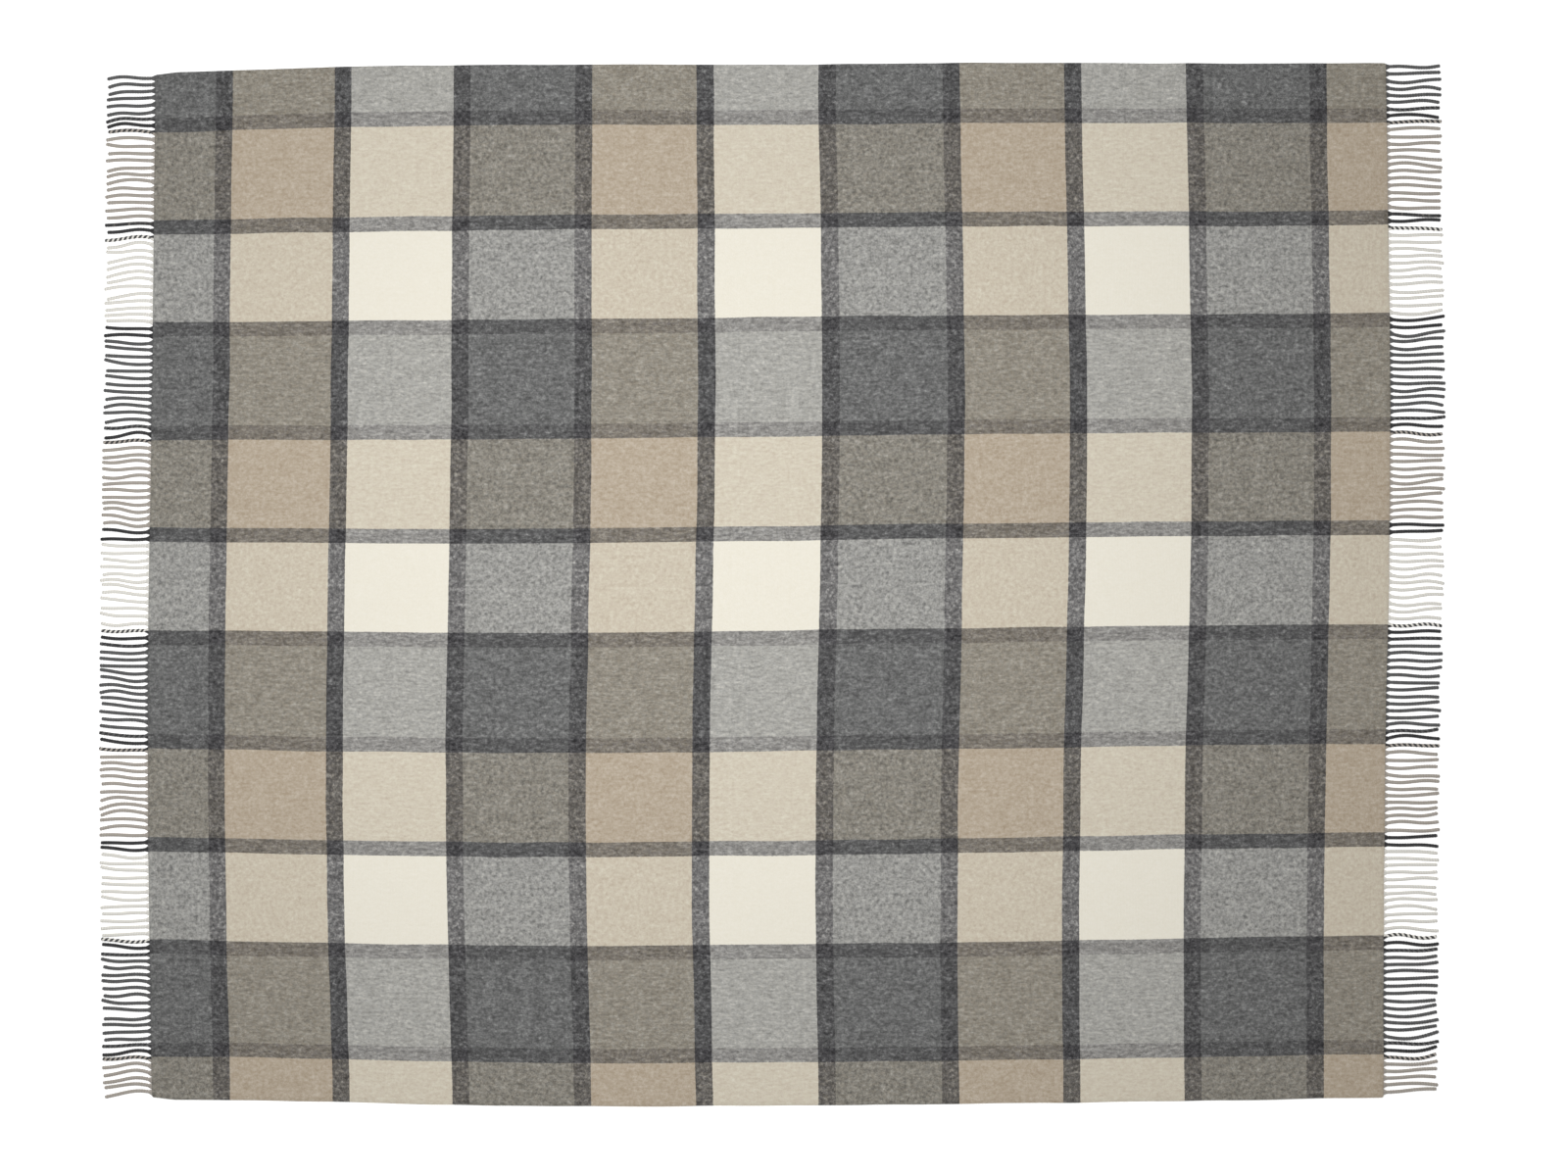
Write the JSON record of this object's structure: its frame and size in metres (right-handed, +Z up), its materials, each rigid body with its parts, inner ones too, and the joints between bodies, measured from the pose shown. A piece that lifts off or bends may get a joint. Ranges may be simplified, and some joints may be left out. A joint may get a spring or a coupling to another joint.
{
  "type": "throw blanket",
  "caption": "Fringed wool throw in a large woven check, laid open flat, that folds in half fringe to fringe.",
  "frame": {"origin": "on the floor, under the middle of the opened throw", "axes": "+X along the warp, from the left fringe to the right fringe; +Y across the throw, towards the long edge with the charcoal band; +Z up out of the cloth's face"},
  "size_m": [1.8, 1.4, 0.004],
  "materials": {
    "woven_cloth": "brushed wool, woven check, matt",
    "yarn_charcoal": "two-ply wool yarn, charcoal, matt",
    "yarn_dark": "two-ply wool yarn, near black, matt",
    "yarn_beige": "two-ply wool yarn, beige, matt",
    "yarn_cream": "two-ply wool yarn, cream, matt"
  },
  "bodies": {
    "left_half": {"cloth_left_half": "woven_cloth", "left_fringe_01_charcoal": "yarn_charcoal", "left_fringe_02_dark": "yarn_dark", "left_fringe_03_beige": "yarn_beige", "left_fringe_04_dark": "yarn_dark", "left_fringe_05_cream": "yarn_cream", "left_fringe_06_dark": "yarn_dark", "left_fringe_07_charcoal": "yarn_charcoal", "left_fringe_08_dark": "yarn_dark", "left_fringe_09_beige": "yarn_beige", "left_fringe_10_dark": "yarn_dark", "left_fringe_11_cream": "yarn_cream", "left_fringe_12_dark": "yarn_dark", "left_fringe_13_charcoal": "yarn_charcoal", "left_fringe_14_dark": "yarn_dark", "left_fringe_15_beige": "yarn_beige", "left_fringe_16_dark": "yarn_dark", "left_fringe_17_cream": "yarn_cream", "left_fringe_18_dark": "yarn_dark", "left_fringe_19_charcoal": "yarn_charcoal", "left_fringe_20_dark": "yarn_dark", "left_fringe_21_beige": "yarn_beige"},
    "right_half": {"cloth_right_half": "woven_cloth", "right_fringe_01_charcoal": "yarn_charcoal", "right_fringe_02_dark": "yarn_dark", "right_fringe_03_beige": "yarn_beige", "right_fringe_04_dark": "yarn_dark", "right_fringe_05_cream": "yarn_cream", "right_fringe_06_dark": "yarn_dark", "right_fringe_07_charcoal": "yarn_charcoal", "right_fringe_08_dark": "yarn_dark", "right_fringe_09_beige": "yarn_beige", "right_fringe_10_dark": "yarn_dark", "right_fringe_11_cream": "yarn_cream", "right_fringe_12_dark": "yarn_dark", "right_fringe_13_charcoal": "yarn_charcoal", "right_fringe_14_dark": "yarn_dark", "right_fringe_15_beige": "yarn_beige", "right_fringe_16_dark": "yarn_dark", "right_fringe_17_cream": "yarn_cream", "right_fringe_18_dark": "yarn_dark", "right_fringe_19_charcoal": "yarn_charcoal", "right_fringe_20_dark": "yarn_dark", "right_fringe_21_beige": "yarn_beige"}
  },
  "joints": [
    {"name": "fold", "type": "hinge", "parent": "left_half", "child": "right_half", "pos_m": [0, 0, 0.0045], "axis": [0, -1, 0], "range_deg": [0, 179.9]}
  ]
}
